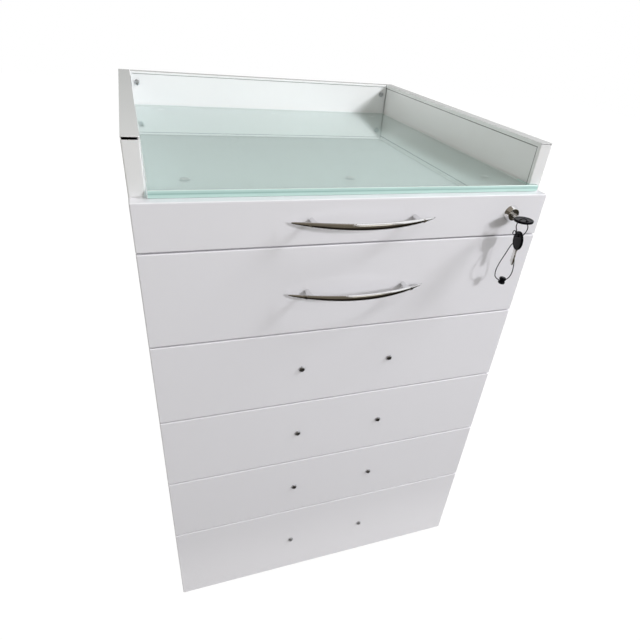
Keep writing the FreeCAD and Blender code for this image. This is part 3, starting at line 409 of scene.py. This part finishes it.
def makeFinishes():
    return {
        "front_coat": fillFinish("front coat", frontCoat),
        "white_coat": fillFinish("wall coat", wallCoat),
        "tray_coat": fillFinish("tray coat", trayCoat),
        "side_liner": makeLiner("side liner"),
        "back_liner": makeLiner("back liner"),
        "pane_glass": makePane(),
        "polished_chrome": fillFinish("chrome plate", chrome),
        "zinc_steel": fillFinish("zinc plate", zinc),
        "key_steel": fillFinish("nickel plate", nickel),
        "black_gloss": fillFinish("black head plastic", headPlastic),
        "black_cord": fillFinish("black cord", cordRubber),
        "glide_plastic": fillFinish("glide plastic", glidePlastic),
        "pad_rubber": makePads(),
    }


def pickFinish(part):
    name = part["node"]
    if name.endswith("_front"):
        return "front_coat"
    if "_liner" in name:
        return "back_liner" if name.startswith("back") else "side_liner"
    return part["material_slot"]


finishes = makeFinishes()
for part in frame["record"]["subparts"]:
    piece = nodes[part["node"]]
    piece.data.materials.clear()
    piece.data.materials.append(finishes[pickFinish(part)])
cord.data.materials.append(finishes["black_cord"])
print("finishes made,", len(finishes))


# soft studio light: a pale room over a pale floor. The window lamp stands at the front right,
# the ceiling lamp hangs high on the right, and weak lamps at the left and rear fill the shade
studio = {
    "room": 0.42, "roomTint": (1.0, 0.995, 0.93),
    "floorColour": (0.36, 0.355, 0.35), "floorRoughness": 0.8, "floorHalf": 6.0,
    "floorGlow": 0.88, "floorBright": 1.12,
}
lamps = {
    "window": {
        "place": (2.05, -3.41, 2.125), "aim": (0.1, -0.2, 0.55), "size": (0.42, 0.42),
        "power": 64.0, "colour": (0.975, 0.98, 1.0),
    },
    "ceiling": {
        "place": (1.90, -0.76, 2.27), "aim": (0.0, 0.0, 0.7), "size": (0.55, 0.55),
        "power": 41.0, "colour": (0.955, 0.97, 1.0),
    },
    "rear": {
        "place": (-0.40, 3.05, 0.70), "aim": (0.0, 0.0, 0.45), "size": (1.2, 0.7),
        "power": 22.0, "colour": (1.0, 0.99, 1.0),
    },
    "left wall": {
        "place": (-2.40, -0.70, 1.50), "aim": (0.0, 0.0, 0.7), "size": (1.2, 1.2),
        "power": 7.0, "colour": (0.98, 1.0, 0.91),
    },
}
# cards that only shine on metal, glass and gloss: corners in metres, colour as seen in them,
# and where one fades, the colour near the cabinet and the Y from and to which it does
cards = {
    "near floor card": {
        "corners": ((-5, -0.235, 0.004), (6, -0.235, 0.004), (6, -1.6, 0.004), (-5, -1.6, 0.004)),
        "colour": (0.014, 0.011, 0.008), "near": (0.85, 0.83, 0.82), "fade": (-0.235, -0.38),
    },
    "far floor card": {
        "corners": (
            (-0.35, -1.6, 0.004), (1.45, -1.6, 0.004), (1.45, -9, 0.004), (-0.35, -9, 0.004),
        ),
        "colour": (0.11, 0.095, 0.07),
    },
    "dark left floor card": {
        "corners": ((-5, -1.6, 0.004), (-0.35, -1.6, 0.004), (-0.35, -9, 0.004), (-5, -9, 0.004)),
        "colour": (0.03, 0.025, 0.02),
    },
    "dark right floor card": {
        "corners": ((1.45, -1.6, 0.004), (6, -1.6, 0.004), (6, -9, 0.004), (1.45, -9, 0.004)),
        "colour": (0.035, 0.03, 0.022),
    },
    "left floor card": {
        "corners": ((-5, -0.235, 0.004), (-0.30, -0.235, 0.004), (-0.30, 3, 0.004), (-5, 3, 0.004)),
        "colour": (0.05, 0.045, 0.03),
    },
    "left card": {
        "corners": ((-3.5, 1.5, 0), (-3.5, -1.2, 0), (-3.5, -1.2, 2.7), (-3.5, 1.5, 2.7)),
        "colour": (0.10, 0.085, 0.065),
    },
    "front left card": {
        "corners": ((-3.5, -1.2, 0), (0.5, -3.2, 0), (0.5, -3.2, 2.7), (-3.5, -1.2, 2.7)),
        "colour": (0.14, 0.12, 0.09),
    },
    "front right card": {
        "corners": ((0.5, -3.2, 0), (4.5, -1.5, 0), (4.5, -1.5, 0.80), (0.5, -3.2, 0.80)),
        "colour": (0.10, 0.085, 0.065),
    },
    "upper right card": {
        "corners": ((0.5, -3.2, 0.80), (2.5, -2.35, 0.80), (2.5, -2.35, 2.7), (0.5, -3.2, 2.7)),
        "colour": (0.46, 0.44, 0.42),
    },
    "doorway card": {
        "corners": ((0.6, -3.05, 0.80), (1.9, -2.5, 0.80), (1.9, -2.5, 1.75), (0.6, -3.05, 1.75)),
        "colour": (0.95, 0.90, 0.78),
    },
    "ceiling left card": {
        "corners": ((-3.5, 1.5, 2.7), (-3.5, -1.2, 2.7), (0.5, -3.2, 2.7), (0.5, 1.5, 2.7)),
        "colour": (0.25, 0.22, 0.18),
    },
    "ceiling card": {
        "corners": ((0.5, -1.75, 2.6), (2.6, -1.75, 2.6), (2.6, -1.35, 2.7), (0.5, -1.35, 2.7)),
        "colour": (1.2, 1.2, 1.2),
    },
    "back card": {
        "corners": ((-6, 3.2, 0.1), (7, 3.2, 0.1), (7, 3.2, 6.0), (-6, 3.2, 6.0)),
        "colour": (0.34, 0.35, 0.34),
    },
}


# 1 on a ray from the camera, a mirror or glass, and 0 on any other


def seenRay(tree):
    path = tree.nodes.new("ShaderNodeLightPath").outputs
    mirrored = addMath(tree, "MAXIMUM", path["Is Glossy Ray"], path["Is Transmission Ray"])
    return addMath(tree, "MAXIMUM", path["Is Camera Ray"], mirrored)


def lightRoom():
    world = bpy.data.worlds.new("room")
    bpy.context.scene.world = world
    world.use_nodes = True
    tree = world.node_tree
    shade = tree.nodes["Background"]
    shade.inputs["Color"].default_value = solid(studio["roomTint"])
    shade.inputs["Strength"].default_value = studio["room"]
    # seen directly, mirrored or through glass, the room is white
    seen = tree.nodes.new("ShaderNodeBackground")
    seen.inputs["Color"].default_value = solid((1, 1, 1))
    seen.inputs["Strength"].default_value = 1.0
    both = mixShaders(tree, seenRay(tree), shade.outputs[0], seen.outputs[0])
    closeTree(tree, both, "World Output")


def hangLamps():
    for name, lamp in lamps.items():
        data = bpy.data.lights.new(name, "AREA")
        data.shape = "RECTANGLE"
        data.size, data.size_y = lamp["size"]
        data.energy = lamp["power"]
        data.color = lamp["colour"]
        holder = bpy.data.objects.new(name, data)
        bpy.context.scene.collection.objects.link(holder)
        holder.location = lamp["place"]
        toward = Vector(lamp["aim"]) - Vector(lamp["place"])
        holder.rotation_euler = toward.to_track_quat("-Z", "Y").to_euler()
        holder.visible_glossy = False


def addPlane(name, corners):
    mesh = bpy.data.meshes.new(name)
    mesh.from_pydata(corners, [], [(0, 1, 2, 3)])
    plane = bpy.data.objects.new(name, mesh)
    bpy.context.scene.collection.objects.link(plane)
    return plane


def standCards():
    for name, card in cards.items():
        plane = addPlane(name, card["corners"])
        material, tree, _ = newFinish(name)
        colour = solid(card["colour"])
        if "near" in card:
            away = addRange(tree, splitAxes(tree)["Y"], card["fade"], bend="SMOOTHERSTEP")
            colour = mixColours(tree, away, solid(card["near"]), colour)
        closeTree(tree, addGlow(tree, colour))
        plane.data.materials.append(material)
        plane.visible_camera = False
        plane.visible_diffuse = False
        plane.visible_shadow = False
        plane.visible_transmission = False


def layFloor():
    half = studio["floorHalf"]
    corners = [(-half, -half, 0), (half, -half, 0), (half, half, 0), (-half, half, 0)]
    floor = addPlane("floor", corners)
    material, tree, shader = newFinish("pale floor")
    shader.inputs["Base Color"].default_value = solid(studio["floorColour"])
    shader.inputs["Roughness"].default_value = studio["floorRoughness"]
    share = addMath(tree, "MULTIPLY", seenRay(tree), studio["floorGlow"])
    glow = addGlow(tree, solid((1, 1, 1)), studio["floorBright"])
    closeTree(tree, mixShaders(tree, share, shader.outputs[0], glow))
    floor.data.materials.append(material)


lightRoom()
hangLamps()
standCards()
layFloor()
bpy.context.scene.view_settings.view_transform = "Standard"
print("studio lit,", len(lamps), "lamps and", len(cards), "cards")
